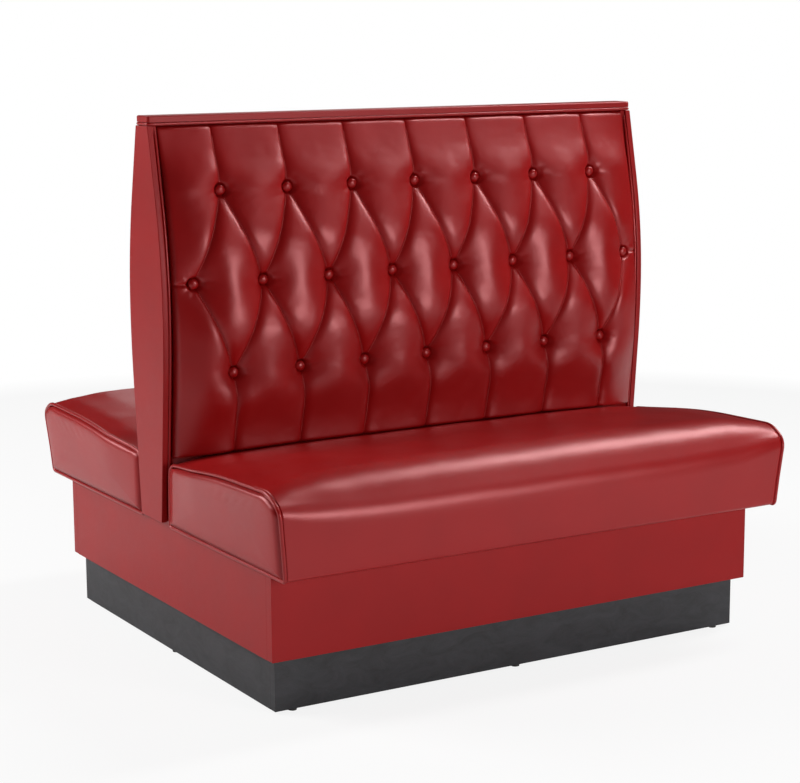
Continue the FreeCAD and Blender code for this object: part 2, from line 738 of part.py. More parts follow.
def dimpled(pad):
    """The pad with a hollow round each button, wider towards the crests."""
    narrow = value("button_radius") + CLEAR
    depth = value("dimple_depth")
    reach = SWELL + value("lobe_root")
    wide = between(narrow, value("dimple_radius"), reach / depth)
    hollows = []
    for x, height in BUTTON_SPOTS:
        hollow = flat_loft([ring(narrow, 0, BUTTON_SIDES), ring(wide, reach, BUTTON_SIDES)])
        hollow.Placement = on_floor(x, height, 0)
        hollows.append(hollow)
    return pad.cut(hollows)


def covered_button():
    """A covered button: a straight rim under a low dome of flat facets."""
    radius, rim, crown = value("button_radius"), value("button_rim"), value("button_crown")
    levels_up = [(radius, 0), (radius, rim)]
    levels_up += [(radius * math.cos(math.radians(turn)), rim + crown * math.sin(math.radians(turn)))
                  for turn in DOME_TURNS]
    return flat_loft([ring(*level, BUTTON_SIDES) for level in levels_up])


front_pad = Part.makeCompound([dimpled(tufted_pad()), pad_tail()])
nodes.append(feature("back_front_pad", front_pad))
nodes.append(feature("back_rear_pad", turned(front_pad)))
one_button = covered_button()
buttons = []
for x, height in BUTTON_SPOTS:
    button = one_button.copy()
    button.Placement = on_floor(x, height, CLEAR)
    buttons.append(button)
front_buttons = Part.makeCompound(buttons)
nodes.append(feature("back_front_buttons", front_buttons))
nodes.append(feature("back_rear_buttons", turned(front_buttons)))

# Cap: an upholstered board whose underside is set in all round, so that a welt runs beneath its edge.
cap = doc.addObject("PartDesign::Body", "top_cap")
board = padded(cap, rectangle(cap, "cap_board", "XY_Plane", ("-cap_half_length", "-cap_half_depth"),
                              ("cap_half_length", "cap_half_depth"), "cap_low"), "cap_thickness")
doc.recompute()
upright = [f"Edge{index}" for index, edge in enumerate(board.Shape.Edges, start=1)
           if abs(edge.Vertexes[0].Z - edge.Vertexes[-1].Z) > value("cap_thickness / 2")]
corners = cap.newObject("PartDesign::Fillet", "cap_corners")
corners.Base = (board, upright)
corners.setExpression("Radius", linked("cap_corner"))
cap.Tip = corners
doc.recompute()
top_rim = [f"Edge{index}" for index, edge in enumerate(corners.Shape.Edges, start=1)
           if all(abs(vertex.Z - value("overall_height")) < CLEAR for vertex in edge.Vertexes)]
eased = cap.newObject("PartDesign::Chamfer", "cap_top_edge")
eased.Base = (corners, top_rim)
eased.setExpression("Size", linked("cap_edge"))
cap.Tip = eased
step = rectangle(cap, "cap_step", "XY_Plane",
                 ("-cap_half_length + welt_seat", "-cap_half_depth + welt_seat"),
                 ("cap_half_length - welt_seat", "cap_half_depth - welt_seat"), "cap_low")
padded(cap, step, "welt_seat", True)
nodes.append(cap)


def rounded_outline(points, radii):
    """A closed path through the points of a convex outline, each corner an arc of its own radius."""
    starts, ends, arcs = [], [], []
    for index, here in enumerate(points):
        inward = (here - points[index - 1]).normalize()
        onward = (points[(index + 1) % len(points)] - here).normalize()
        half_turn = inward.getAngle(onward) / 2
        reach = radii[index] * math.tan(half_turn)
        toward_centre = (onward - inward).normalize()
        start, end = here - inward * reach, here + onward * reach
        middle = here + toward_centre * (radii[index] / math.cos(half_turn) - radii[index])
        starts.append(start)
        ends.append(end)
        arcs.append(Part.Arc(start, middle, end).toShape())
    path = []
    for index, arc in enumerate(arcs):
        path.append(Part.LineSegment(ends[index - 1], starts[index]).toShape())
        path.append(arc)
    return path


CORNER_ANGLE = 30
CAP_WELT_INSET = value("welt_seat / 2") - value("welt_proud")
cap_x = value("cap_half_length") - CAP_WELT_INSET
cap_y = value("cap_half_depth") - CAP_WELT_INSET
cap_z = value("cap_low - welt_seat / 2")
cap_points = [FreeCAD.Vector(x, y, cap_z) for x, y in
              ((-cap_x, -cap_y), (cap_x, -cap_y), (cap_x, cap_y), (-cap_x, cap_y))]
cap_path = rounded_outline(cap_points, [value("cap_corner") - CAP_WELT_INSET] * 4)
nodes.append(feature("cap_welt", tube(chords(cap_path, CORNER_ANGLE), WELT)))

# Seats. The outline across a seat is a convex path of six corners, given as shares of the seat's
# depth and thickness. It is low at the welted ends and crowned in the middle.
END_OUTLINE_SHARES = ((0, 0), (0.01, 0.78), (0.49, 0.965), (0.905, 1), (0.99, 0.83), (0.975, 0))
MIDDLE_OUTLINE_SHARES = ((0, 0), (0.01, 0.76), (0.55, 0.965), (0.9, 1), (1.01, 0.58), (0.975, 0))
END_RADIUS_SHARES = (0.06, 0.17, 10, 0.45, 0.2, 0.06)
MIDDLE_RADIUS_SHARES = (0.05, 0.14, 8.6, 0.52, 0.35, 0.05)
# Each station along half the seat as a share of its length, with its share of the full crown.
CROWN_SHARES = ((1, 0), (0.93, 0.42), (0.82, 0.76), (0.6, 0.95), (0.3, 1))
SEAT_REAR = value("seat_rear")
SEAT_DEPTH = value("seat_reach") - SEAT_REAR
SEAT_LOW = value("seat_low")
LEAST_RADIUS = value("end_edge_radius")
CORNER_COUNTS = (2, 3, 2, 3, 3, 2)


def seat_section(x, crown, inset=0.0):
    """Path of the outline at a station along the front seat, moved inwards by an inset."""
    thickness = between(value("seat_end_thickness"), value("seat_crown"), crown)
    corners, radii = [], []
    for low, high, low_radius, high_radius in zip(END_OUTLINE_SHARES, MIDDLE_OUTLINE_SHARES,
                                                  END_RADIUS_SHARES, MIDDLE_RADIUS_SHARES):
        reach = SEAT_REAR + SEAT_DEPTH * between(low[0], high[0], crown)
        corners.append(FreeCAD.Vector(x, -reach, SEAT_LOW + thickness * between(low[1], high[1], crown)))
        radii.append(thickness * between(low_radius, high_radius, crown))
    if inset:
        corners = moved_inwards(corners, inset)
        radii = [max(radius - inset, LEAST_RADIUS) for radius in radii]
    return rounded_outline(corners, radii)


def moved_inwards(corners, inset):
    """A convex outline in a plane across X with every side moved inwards."""
    normals = []
    for start, end in zip(corners, corners[1:] + corners[:1]):
        normals.append((end - start).normalize().cross(FreeCAD.Vector(-1, 0, 0)))
    moved = []
    for index, here in enumerate(corners):
        before, after = normals[index - 1], normals[index]
        moved.append(here + (before + after) * (inset / (1 + before.dot(after))))
    return moved


def faceted(path):
    """The outline with each corner arc cut into as many chords at every station."""
    points = []
    for straight, arc, cuts in zip(path[::2], path[1::2], CORNER_COUNTS):
        points.append(straight.valueAt(straight.FirstParameter))
        points += [arc.valueAt(between(arc.FirstParameter, arc.LastParameter, cut / cuts))
                   for cut in range(cuts)]
    return Part.makePolygon(points + points[:1])


def cushion():
    """The front cushion: a crowned loft, a core and a pillow at each end, and a pocket for the deck."""
    half = value("seat_length / 2")
    welt_plane = half - value("end_pillow")
    body_end = welt_plane - value("welt_seat")
    stations = [(-body_end * share, crown) for share, crown in CROWN_SHARES]
    stations += [(0, 1)] + [(body_end * share, crown) for share, crown in reversed(CROWN_SHARES)]
    crowned = Part.makeLoft([faceted(seat_section(x, crown)) for x, crown in stations], True, False)
    ends = []
    for sign in (-1, 1):
        inset = value("welt_seat")
        steps = ((body_end - inset, inset), (welt_plane, inset), (half, value("end_pillow_edge")))
        ends.append(Part.makeLoft([faceted(seat_section(sign * x, 0, drop)) for x, drop in steps],
                                  True, True))
    deck_half = value("half_deck") + CLEAR
    deck_start = value("deck_start") - CLEAR
    deck_run = value("deck_end - deck_start") + 2 * CLEAR
    pocket = Part.makeBox(2 * deck_half, deck_run, value("2 * deck_board"),
                          FreeCAD.Vector(-deck_half, -deck_start - deck_run,
                                         SEAT_LOW + CLEAR - value("deck_board")))
    return crowned.fuse(ends).cut(pocket)


front_cushion = cushion()
nodes.append(feature("front_seat_cushion", front_cushion))
nodes.append(feature("rear_seat_cushion", turned(front_cushion)))
welt_station = value("seat_length / 2 - end_pillow - welt_seat / 2")
seat_welts = Part.makeCompound([
    tube(chords(seat_section(sign * welt_station, 0, WELT - value("welt_proud")), CORNER_ANGLE), WELT)
    for sign in (-1, 1)])
nodes.append(feature("front_seat_welts", seat_welts))
nodes.append(feature("rear_seat_welts", turned(seat_welts)))

for row, deck_y, batten_y in (("front", "-deck_end", "-batten_end"),
                              ("rear", "deck_start", "batten_end - batten_width")):
    nodes.append(block(f"{row}_seat_deck", ("-half_deck", deck_y, "seat_low + clearance"),
                       ("2 * half_deck", "deck_end - deck_start", "deck_board - clearance")))
    nodes.append(group(f"{row}_seat_battens", [
        block(f"{row}_batten_{side}", (x, batten_y, "seat_low + clearance - batten_height"),
              ("batten_length", "batten_width", "batten_height"))
        for side, x in (("left", "-batten_start - batten_length"), ("right", "batten_start"))]))

doc.recompute()
for item in doc.Objects:
    if "Invalid" in item.State or "Error" in item.State:
        raise RuntimeError(f"{item.Label} did not recompute: {item.State}")
for node in nodes:
    if node.Shape.isNull() or not node.Shape.isValid():
        raise RuntimeError(f"{node.Label} has no valid shape")
for node in nodes:
    node.Shape.exportStep(f"parts/{node.Label}.step")
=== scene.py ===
import bisect
import bmesh
import bpy
import math
from mathutils import Matrix, noise, Vector


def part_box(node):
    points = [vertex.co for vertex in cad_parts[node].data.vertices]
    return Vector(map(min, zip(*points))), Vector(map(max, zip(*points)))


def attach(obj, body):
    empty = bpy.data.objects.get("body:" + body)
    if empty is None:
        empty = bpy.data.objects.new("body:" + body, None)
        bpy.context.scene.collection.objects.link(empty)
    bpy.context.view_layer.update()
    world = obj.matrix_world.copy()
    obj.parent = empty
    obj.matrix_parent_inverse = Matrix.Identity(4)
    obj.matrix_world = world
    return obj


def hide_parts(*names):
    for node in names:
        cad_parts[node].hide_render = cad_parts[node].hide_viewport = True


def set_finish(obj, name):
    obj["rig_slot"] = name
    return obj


# Double restaurant booth in red vinyl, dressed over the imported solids. Metres throughout.
# X runs along the booth, the front seat looks along -Y, and the floor is at 0.
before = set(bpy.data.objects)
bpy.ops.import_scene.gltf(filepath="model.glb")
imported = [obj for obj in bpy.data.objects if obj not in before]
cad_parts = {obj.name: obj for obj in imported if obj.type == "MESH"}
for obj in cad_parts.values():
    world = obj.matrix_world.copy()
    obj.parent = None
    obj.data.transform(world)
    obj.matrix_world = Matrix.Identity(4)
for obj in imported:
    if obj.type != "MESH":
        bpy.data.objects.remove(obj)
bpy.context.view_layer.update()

# View: the booth is seen from its front left corner, from a little above eye height of someone seated.
# A long lens, a third of a right angle off the front, gives the gentle perspective of a shop picture.
VIEW_PLACE = Vector((-2.183935, -3.643736, 1.250347))
VIEW_YAW, VIEW_PITCH, VIEW_ROLL = 30.948, 10.277, -0.281
LENS_IN_PIXELS = 2054.724
IMAGE_WIDTH = 800
SENSOR = 36
VIEW_FAR = 100
lens = bpy.data.cameras.new("view")
lens.sensor_width = SENSOR
lens.lens = LENS_IN_PIXELS / IMAGE_WIDTH * SENSOR
lens.clip_end = VIEW_FAR
view = bpy.data.objects.new("view", lens)
bpy.context.scene.collection.objects.link(view)
view.matrix_world = (Matrix.Translation(VIEW_PLACE)
                     @ Matrix.Rotation(math.radians(-VIEW_YAW), 4, "Z")
                     @ Matrix.Rotation(math.radians(90 - VIEW_PITCH), 4, "X")
                     @ Matrix.Rotation(math.radians(VIEW_ROLL), 4, "Z"))
bpy.context.scene.camera = view
bpy.context.scene.view_settings.view_transform = "Standard"


# Room: a pale seamless floor that keeps the shadow and fades to white, under five soft boxes: a wide
# one at the left end, one over the right end for the band of light on the seats, one low in front of
# the pads, and two weak ones high in front and behind.
class Wire:
    """A shader socket that is reckoned with like a number."""

    def __init__(self, tree, socket=None):
        self.tree = tree
        self.socket = socket

    def node(self, kind, settings=(), out=0, **sockets):
        """A node of a kind: its settings first, then the numbers or wires of its sockets."""
        made = self.tree.nodes.new(kind)
        for name, setting in dict(settings).items():
            if name == "stops":
                ramp = made.color_ramp
                for index, (place, shade) in enumerate(setting):
                    stop = ramp.elements[index] if index < 2 else ramp.elements.new(place)
                    stop.position = place
                    stop.color = (*shade, 1) if isinstance(shade, tuple) else (shade, shade, shade, 1)
            else:
                setattr(made, name, setting)
        for name, feed in sockets.items():
            key = int(name[1:]) if name[1:].isdigit() else name.replace("_", " ")
            self.feed(made.inputs[key], feed)
        return Wire(self.tree, made.outputs[out])

    def feed(self, target, feed):
        if isinstance(feed, Wire):
            self.tree.links.new(feed.socket, target)
        else:
            target.default_value = feed

    def math(self, operation, *feeds):
        places = {f"i{index}": feed for index, feed in enumerate(feeds)}
        return self.node("ShaderNodeMath", {"operation": operation}, **places)

    def __add__(self, other):
        return self.math("ADD", self, other)

    def __sub__(self, other):
        return self.math("SUBTRACT", self, other)

    def __rsub__(self, other):
        return self.math("SUBTRACT", other, self)

    def __mul__(self, other):
        return self.math("MULTIPLY", self, other)

    __radd__ = __add__
    __rmul__ = __mul__


def finish_named(name):
    """A new material, its shader, and a wire on the object's own coordinates."""
    made = bpy.data.materials.new(name)
    made.use_nodes = True
    shader = made.node_tree.nodes["Principled BSDF"]
    start = Wire(made.node_tree)
    return made, shader, start, start.node("ShaderNodeTexCoord", out="Object")


FLOOR_HALF = 14
FLOOR_FADE_START, FLOOR_FADE_RUN, FLOOR_FADE_LEAST = 1.0, 2.2, 0.86
PAPER_WHITE, PAPER_ROUGHNESS, PAPER_GLOSS = (0.9, 0.9, 0.9, 1), 0.9, 0.1
PURE_WHITE = (1, 1, 1, 1)
floor_form = bmesh.new()
bmesh.ops.create_grid(floor_form, x_segments=1, y_segments=1, size=FLOOR_HALF)
floor_mesh = bpy.data.meshes.new("floor")
floor_form.to_mesh(floor_mesh)
floor_form.free()
floor = bpy.data.objects.new("floor", floor_mesh)
bpy.context.scene.collection.objects.link(floor)
paper, paper_shader, start, place = finish_named("floor_paper")
paper_shader.inputs["Base Color"].default_value = PAPER_WHITE
paper_shader.inputs["Roughness"].default_value = PAPER_ROUGHNESS
paper_shader.inputs["Specular IOR Level"].default_value = PAPER_GLOSS
seen = start.node("ShaderNodeLightPath", out="Is Camera Ray")
far = start.node("ShaderNodeVectorMath", {"operation": "LENGTH"}, out="Value", i0=place)
fade = (far - FLOOR_FADE_START) * (1 / FLOOR_FADE_RUN)
fade = start.math("MINIMUM", start.math("MAXIMUM", fade, FLOOR_FADE_LEAST), 1)
white = start.node("ShaderNodeEmission", Color=PURE_WHITE, Strength=1.0)
both = start.node("ShaderNodeMixShader", i0=seen * fade,
                  i1=Wire(paper.node_tree, paper_shader.outputs[0]), i2=white)
start.feed(paper.node_tree.nodes["Material Output"].inputs["Surface"], both)
floor_mesh.materials.append(paper)

WORLD_LEVEL = 0.03
world = bpy.data.worlds.new("room")
world.use_nodes = True
bpy.context.scene.world = world
start = Wire(world.node_tree)
path = world.node_tree.nodes.new("ShaderNodeLightPath")
straight = [Wire(world.node_tree, path.outputs[name])
            for name in ("Is Camera Ray", "Is Transmission Ray")]
shown = start.math("MAXIMUM", *straight)
back = world.node_tree.nodes["Background"]
back.inputs["Color"].default_value = PURE_WHITE
start.feed(back.inputs["Strength"], shown * (1 - WORLD_LEVEL) + WORLD_LEVEL)

# Each soft box: where it stands, what it is aimed at, its width and height, and its watts.
SOFT_BOXES = (
    ("front_box", (0.9, -3.5, 1.08), (0, -0.1, 0.75), (1.0, 0.6), 48),
    ("high_box", (1.8, -2.35, 2.9), (0, -0.5, 0.4), (1.0, 0.7), 6),
    ("top_box", (2.2, -0.3, 3.1), (0, -0.45, 0.4), (0.45, 1.8), 66),
    ("back_box", (1.6, 3.6, 1.6), (-0.4, 0.3, 0.45), (1.6, 1.2), 8),
    ("left_box", (-3.2, 2.0, 2.3), (-0.4, 0.1, 0.4), (2.2, 2.0), 140),
)
for name, stand, aim, (width, height), power in SOFT_BOXES:
    lamp = bpy.data.lights.new(name, "AREA")
    lamp.shape = "RECTANGLE"
    lamp.size, lamp.size_y, lamp.energy = width, height, power
    box = bpy.data.objects.new(name, lamp)
    bpy.context.scene.collection.objects.link(box)
    box.location = stand
    box.rotation_mode = "QUATERNION"
    box.rotation_quaternion = (Vector(aim) - Vector(stand)).to_track_quat("-Z", "Y")

# Vinyl: an expanded upholstery vinyl with a fine leather grain, soft at the surface and lightly
# glazed. The same cloth covers pads, seats, panels, box and cap, each in its own batch.
VINYL_RED = (153, 13, 14)
DARKER, LIGHTER = 0.975, 1.02
MOTTLE_ROUGHNESS, CLOUD_ROUGHNESS = 0.05, 0.03
GRAIN_STRENGTH, GRAIN_DEPTH = 0.3, 0.0004
GLAZE_TINT = (1, 0.44, 0.45, 1)


def linear(*levels):
    """A colour given in picture levels from 0 to 255, as the shader wants it."""
    shares = [level / 255 for level in levels]
    return tuple(share / 12.92 if share <= 0.04045 else ((share + 0.055) / 1.055) ** 2.4
                 for share in shares)


def vinyl(name, red=VINYL_RED, roughness=0.35, gloss=1.0):
    """One batch of vinyl: its red in picture levels, its roughness and how strongly it mirrors."""
    made, shader, start, place = finish_named(name)
    cloud = start.node("ShaderNodeTexNoise", Vector=place, Scale=9, Detail=3)
    mottle = start.node("ShaderNodeTexNoise", Vector=place, Scale=55, Detail=4)
    cells = start.node("ShaderNodeTexVoronoi", {"feature": "DISTANCE_TO_EDGE"}, Vector=place, Scale=780)
    pores = start.node("ShaderNodeTexNoise", Vector=place, Scale=1500, Detail=2)
    dark = linear(*(level * DARKER for level in red))
    light = linear(*(level * LIGHTER for level in red))
    shade = start.node("ShaderNodeValToRGB", {"stops": ((0.3, dark), (0.7, light))}, Fac=cloud)
    start.feed(shader.inputs["Base Color"], shade)
    start.feed(shader.inputs["Roughness"],
               (mottle - 0.5) * MOTTLE_ROUGHNESS + (cloud - 0.5) * CLOUD_ROUGHNESS + roughness)
    relief = cells * 1.2 + pores * 0.35 + mottle * 0.5
    bump = start.node("ShaderNodeBump", Strength=GRAIN_STRENGTH, Distance=GRAIN_DEPTH, Height=relief)
    start.feed(shader.inputs["Normal"], bump)
    shader.inputs["Specular IOR Level"].default_value = gloss
    shader.inputs["Specular Tint"].default_value = GLAZE_TINT
    return made


red_vinyl = vinyl("red_vinyl")
panel_vinyl = vinyl("panel_vinyl", roughness=0.43, gloss=0.6)
welt_vinyl = vinyl("welt_vinyl", roughness=0.3)

# Back pads: one sheet of vinyl over deep foam, drawn in by three staggered rows of buttons. Pleats
# arch from button to button, straight ones run up to the cap and down behind the seat.
PAD_TAIL, PAD_CREASE, PAD_HIGH = 0.2840, 0.4266, 1.0517
PAD_EDGE = 0.5504
PITCH = 0.1464
TOP_ROW, MIDDLE_ROW, BOTTOM_ROW = 0.927, 0.752, 0.577
FLOOR_WIDEST, FLOOR_HEIGHT = 0.104, 0.570
UPPER_ARC, LOWER_ARC = 1.470, 7.0
ARCH_RISE, ARCH_REACH, ARCH_POWER, ARCH_DRAW, ARCH_LIMIT = 0.031, 0.050, 1.3, 3, 4
HEAD_FADE, FOOT_FADE = 2.6, 1.5
TOP_ROW_EASE = 0.38
PUFF, PUFF_RUN = 0.0105, 0.0095
STITCH_DEPTH, STITCH_RUN = 0.0012, 0.0018
CHANNEL_PUFF, HEAD_PUFF, FOOT_PUFF = 0.010, 0.004, 0.008
EDGE_RUN, EDGE_SET_IN, PAD_THICK = 0.112, 0.004, 0.014
EDGE_ROLL, EDGE_ROLL_SHARE = 0.007, 0.24
TOP_TUCK, FOOT_TUCK, TUCK_SHARE = 0.010, 0.005, 0.9
FOOT_ENDS, FOOT_MIDDLE, FOOT_FALL, FOOT_POWER = 0.4080, 0.4238, 0.571, 6
FOOT_BOW, BOW_POWER = 0.0055, 4
BUTTON_RADIUS = 0.0106
DIMPLE, DIMPLE_REACH = 0.0095, 0.0134
DIMPLE_POWER = 8
PUCKER, PUCKER_REACH, PUCKER_RING, PUCKER_RUN = 0.0004, 0.045, 0.022, 0.007
PUCKERS, PUCKER_TURN = 9, 2.1
END_CREASE, END_CREASE_RUN, END_CREASE_START = 0.0028, 0.0035, 0.012
FOAM_UNEVEN, FOAM_GRAIN = 0.0009, 16
FOAM_ROUGHNESS, FOAM_STEP, FOAM_OCTAVES = 0.8, 2.1, 3
FIELD_COLUMNS, FIELD_ROWS, HEAD_ROWS, FOOT_ROWS, TAIL_ROWS = 28, 58, 40, 48, 12
FIELD_EASE = 0.5
TAIL_GAP, TAIL_SET_IN, TAIL_THICK = 0.0005, 0.006, 0.0078
SEAM, FACE_REACH = 0.00002, 0.0001


def smooth(share):
    """A share of a run, eased at both of its ends."""
    return share * share * (3 - 2 * share)


def pad_floor(height):
    """How far out of the middle of the back the buttons are drawn in to, at a height."""
    rise = height - FLOOR_HEIGHT
    arc = UPPER_ARC if rise > 0 else LOWER_ARC
    return FLOOR_WIDEST - arc + math.sqrt(arc * arc - rise * rise)


panel_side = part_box("back_left_end_panel")[0].x + FACE_REACH
panel_outline = {}
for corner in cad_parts["back_left_end_panel"].data.vertices:
    if corner.co.x < panel_side:
        height = round(corner.co.z, 5)
        panel_outline[height] = max(panel_outline.get(height, 0), corner.co.y)
panel_heights = sorted(panel_outline)


def panel_edge(height):
    """Half the depth of the end panels at a height, from the solid's own outline."""
    above = min(bisect.bisect(panel_heights, height), len(panel_heights) - 1)
    low, high = panel_heights[above - 1], panel_heights[above]
    share = (height - low) / (high - low)
    return panel_outline[low] + (panel_outline[high] - panel_outline[low]) * share


BUTTON_ROWS = ((TOP_ROW, 0, range(-3, 4)), (MIDDLE_ROW, 0.5, range(-4, 4)),
               (BOTTOM_ROW, 0, range(-3, 4)))
button_spots = [((column + offset) * PITCH, row) for row, offset, columns in BUTTON_ROWS
                for column in columns]


def arch(x, height):
    """Rise of the vinyl between the buttons, none at a button and fading beyond the outer rows."""
    drawn = 0
    for spot_x, spot_height in button_spots:
        if max(abs(height - spot_height), abs(x - spot_x)) < ARCH_LIMIT * ARCH_REACH:
            away = math.hypot(x - spot_x, height - spot_height)
            drawn += math.exp(-ARCH_DRAW * (away / ARCH_REACH) ** ARCH_POWER)
    rise = 1 - min(drawn, 1) ** (1 / 3)
    above = (height - TOP_ROW) / (PAD_HIGH - TOP_ROW)
    below = (BOTTOM_ROW - height) / (BOTTOM_ROW - PAD_CREASE)
    beyond = min(max(above, below, 0), 1)
    high = min(max((height - MIDDLE_ROW) / (TOP_ROW - MIDDLE_ROW), 0), 1)
    fade = (0.5 + 0.5 * math.cos(math.pi * beyond)) ** (HEAD_FADE if height > TOP_ROW else FOOT_FADE)
    return ARCH_RISE * rise * fade * (1 - TOP_ROW_EASE * smooth(high))


def rolled_in(x, height, full):
    """The depth once the pad has rolled back towards the end panels at its sides."""
    inward = min((PAD_EDGE - abs(x)) / EDGE_RUN, 1)
    roll = min((PAD_EDGE - abs(x)) / EDGE_ROLL, 1)
    quarter_round = math.sqrt(max(1 - (1 - roll) ** 2, 0))
    share = (1 - EDGE_ROLL_SHARE) * (1 - (1 - inward) ** 2) + EDGE_ROLL_SHARE * quarter_round
    edge = panel_edge(height) - EDGE_SET_IN
    return edge + (full - edge) * share


def hung(x, height):
    """Where a point of the lower fields ends up: the foot follows the seat and the seams bow a little."""
    if height >= BOTTOM_ROW:
        return x, height
    share = (BOTTOM_ROW - height) / (BOTTOM_ROW - PAD_CREASE)
    foot = FOOT_ENDS + (FOOT_MIDDLE - FOOT_ENDS) * (1 - (abs(x) / FOOT_FALL) ** FOOT_POWER)
    bow = FOOT_BOW * math.sin(math.pi * share) * (1 - (abs(x) / PAD_EDGE) ** BOW_POWER)
    return x + bow, BOTTOM_ROW - share * (BOTTOM_ROW - foot)


def side_distance(x, height, line):
    """Distance from a pleat line, given as two points, each across the pad and up."""
    (x1, h1), (x2, h2) = line
    run, rise = x2 - x1, h2 - h1
    return abs((x - x1) * rise - (height - h1) * run) / math.hypot(run, rise)


def uneven(x, y, z, height, grain):
    """The slow unevenness that foam and a stretched cover always have."""
    return height * noise.fractal(Vector((x, y, z)) * grain, FOAM_ROUGHNESS, FOAM_STEP, FOAM_OCTAVES)


def pad_depth(x, height, lines, puff):
    """How far out the vinyl stands at a place in a field that these pleats bound."""
    groove = 0
    for line in lines:
        away = side_distance(x, height, line)
        puff *= 1 - math.exp(-away / PUFF_RUN)
        groove += math.exp(-away / STITCH_RUN)
    full = pad_floor(height) + arch(x, height) + puff - STITCH_DEPTH * min(groove, 1)
    full += uneven(x, 0, height, FOAM_UNEVEN, FOAM_GRAIN)
    full = rolled_in(x, height, full)
    for index, (spot_x, spot_height) in enumerate(button_spots):
        if max(abs(height - spot_height), abs(x - spot_x)) < PUCKER_REACH:
            away = math.hypot(x - spot_x, height - spot_height)
            turn = math.atan2(height - spot_height, x - spot_x)
            full -= DIMPLE * math.exp(-((away / DIMPLE_REACH) ** DIMPLE_POWER))
            full += (PUCKER * math.sin(PUCKERS * turn + PUCKER_TURN * index)
                     * math.exp(-((away - PUCKER_RING) / PUCKER_RUN) ** 2))
    beside = abs(x) - 3.5 * PITCH
    if beside > 0:
        crease = math.exp(-(((height - MIDDLE_ROW) / END_CREASE_RUN) ** 2))
        full -= END_CREASE * crease * min(beside / END_CREASE_START, 1)
    for edge, tuck in ((PAD_HIGH - height, TOP_TUCK), (height - PAD_CREASE, FOOT_TUCK)):
        near = min(edge / tuck, 1)
        full -= TUCK_SHARE * tuck * (1 - math.sqrt(max(1 - (1 - near) ** 2, 0)))
    return full


def eased(share, ease):
    """Shares of a run packed closer at both of its ends."""
    return share - ease * math.sin(2 * math.pi * share) / (2 * math.pi)


def field(form, low, high, lines, steps, ease):
    """One stretch of a field between pleats, from a low row to a high one: height, left, right, puff."""
    made = bmesh.ops.create_grid(form, x_segments=FIELD_COLUMNS, y_segments=steps, size=1)
    for corner in made["verts"]:
        across = 0.5 - 0.5 * math.cos(math.pi * (corner.co.x + 1) / 2)
        up = eased((corner.co.y + 1) / 2, ease)
        height, left, right = (start + (end - start) * up for start, end in zip(low[:3], high[:3]))
        puff = low[3] + (high[3] - low[3]) * smooth(up)
        x = left + (right - left) * across
        hung_x, hung_height = hung(x, height)
        corner.co = Vector((hung_x, -pad_depth(x, height, lines, puff), hung_height))


def diamond(form, centre):
    """The field between four buttons, from the bottom button to the top one."""
    left, right = centre - PITCH / 2, centre + PITCH / 2
    lines = [((centre, row), (side, MIDDLE_ROW))
             for row in (TOP_ROW, BOTTOM_ROW) for side in (left, right)]
    waist = (MIDDLE_ROW, left, right, PUFF)
    field(form, waist, (TOP_ROW, centre, centre, PUFF), lines, FIELD_ROWS, FIELD_EASE)
    field(form, (BOTTOM_ROW, centre, centre, PUFF), waist, lines, FIELD_ROWS, FIELD_EASE)


def pennant(form, row, far, far_puff, left, right, left_point, right_point, steps):
    """A field that widens from a middle button to another row, then runs on as a straight channel."""
    lines = []
    for side, point in ((left, left_point), (right, right_point)):
        if abs(side) < PAD_EDGE - FACE_REACH:
            lines += [((point, MIDDLE_ROW), (side, row)), ((side, row), (side, far))]
    stations = [(MIDDLE_ROW, left_point, right_point, PUFF), (row, left, right, CHANNEL_PUFF),
                (far, left, right, far_puff)]
    runs = zip(zip(stations, stations[1:]), (FIELD_ROWS, steps), (FIELD_EASE, 0))
    for (start, end), count, ease in runs:
        low, high = (start, end) if row > MIDDLE_ROW else (end, start)
        field(form, low, high, lines, count, ease)


def finished(form, name, finish, body, slot):
    """A piece from its bmesh: seams closed, faces turned outwards, on its body and in its slot."""
    bmesh.ops.remove_doubles(form, verts=form.verts, dist=SEAM)
    bmesh.ops.recalc_face_normals(form, faces=form.faces)
    mesh = bpy.data.meshes.new(name)
    form.to_mesh(mesh)
    form.free()
    for face in mesh.polygons:
        face.use_smooth = True
    mesh.materials.append(finish)
    piece = bpy.data.objects.new(name, mesh)
    bpy.context.scene.collection.objects.link(piece)
    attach(piece, body)
    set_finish(piece, slot)
    return piece


HALF_TURN = Matrix.Rotation(math.pi, 4, "Z")


def turned_copy(piece, name, body):
    """The same piece for the other side of the booth, turned half round in its mesh."""
    mesh = piece.data.copy()
    mesh.name = name
    mesh.transform(HALF_TURN)
    copy = bpy.data.objects.new(name, mesh)
    bpy.context.scene.collection.objects.link(copy)
    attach(copy, body)
    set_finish(copy, piece["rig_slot"])
    return copy


pad_form = bmesh.new()
for column in range(-3, 4):
    diamond(pad_form, column * PITCH)
for row, far, far_puff, steps in ((TOP_ROW, PAD_HIGH, HEAD_PUFF, HEAD_ROWS),
                                  (BOTTOM_ROW, PAD_CREASE, FOOT_PUFF, FOOT_ROWS)):
    for column in range(-3, 3):
        left = column * PITCH
        middle = left + PITCH / 2
        pennant(pad_form, row, far, far_puff, left, left + PITCH, middle, middle, steps)
    last, point = 3 * PITCH, 3.5 * PITCH
    pennant(pad_form, row, far, far_puff, -PAD_EDGE, -last, -PAD_EDGE, -point, steps)
    pennant(pad_form, row, far, far_puff, last, PAD_EDGE, point, PAD_EDGE, steps)
bmesh.ops.remove_doubles(pad_form, verts=pad_form.verts, dist=SEAM)
sides = [edge for edge in pad_form.edges
         if edge.is_boundary
         and all(abs(abs(corner.co.x) - PAD_EDGE) < FACE_REACH for corner in edge.verts)]
